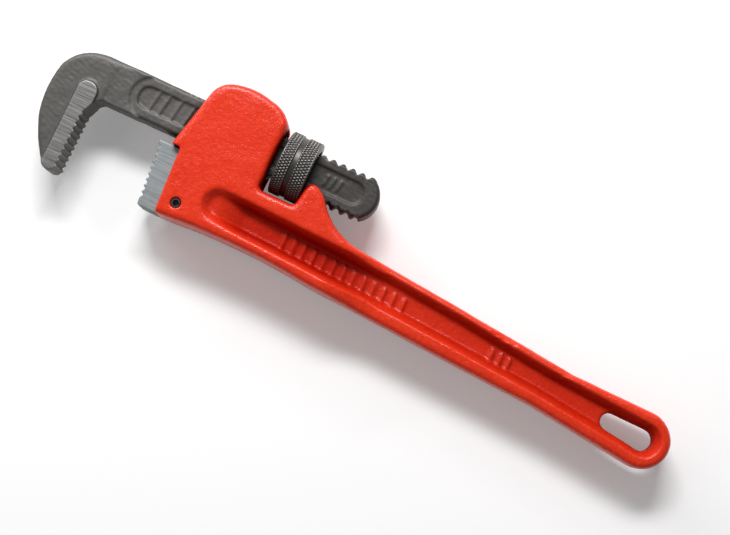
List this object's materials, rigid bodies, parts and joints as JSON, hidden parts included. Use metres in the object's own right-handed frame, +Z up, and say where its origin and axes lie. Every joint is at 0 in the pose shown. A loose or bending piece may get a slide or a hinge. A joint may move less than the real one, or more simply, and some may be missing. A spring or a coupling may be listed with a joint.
{
  "type": "pipe wrench",
  "caption": "Straight pipe wrench with a sprung, screw-driven hook jaw, a pinned heel jaw and an I-section handle with a hang hole.",
  "frame": {"origin": "bottom centre of the whole wrench's box, lying on its side with the jaws as far apart as at rest", "axes": "+X along the shank towards the handle's end, +Y away from the jaws' mouth, +Z up through the thickness"},
  "size_m": [0.3372, 0.0856, 0.0316],
  "materials": {
    "handle_paint": "glossy red-orange enamel over cast iron",
    "ground_steel": "ground, light grey",
    "black_steel": "black oxide",
    "spring_steel": "dark, hard-drawn",
    "forged_steel": "grey phosphate on forged steel",
    "nut_steel": "dark phosphate, knurled"
  },
  "bodies": {
    "handle_body": {"handle": "handle_paint", "heel_jaw": "ground_steel", "heel_jaw_pin": "black_steel", "coil_spring": "spring_steel"},
    "rocker": {"flat_spring": "spring_steel", "spring_rivet": "spring_steel"},
    "hook": {"hook_jaw": "forged_steel"},
    "nut": {"adjusting_nut": "nut_steel"}
  },
  "joints": [
    {"name": "jaw_rock", "type": "hinge", "parent": "handle_body", "child": "rocker", "pos_m": [-0.04611, 0.01862, 0.0158], "axis": [0, 0, -1], "range_deg": [0, 3], "stiffness_Nm_per_rad": 8, "springref_deg": -2.86, "deforming": ["coil_spring"]},
    {"name": "hook_slide", "type": "slide", "parent": "rocker", "child": "hook", "axis": [1, 0, 0], "range_m": [-0.021, 0.036]},
    {"name": "nut_spin", "type": "hinge", "parent": "rocker", "child": "nut", "pos_m": [-0.04611, 0.01862, 0.0158], "axis": [1, 0, 0], "range_deg": [-1512.01, 2592.01]}
  ],
  "couplings": [
    {"joint": "nut_spin", "follows": "hook_slide", "rad_per_m": 1256.6}
  ]
}
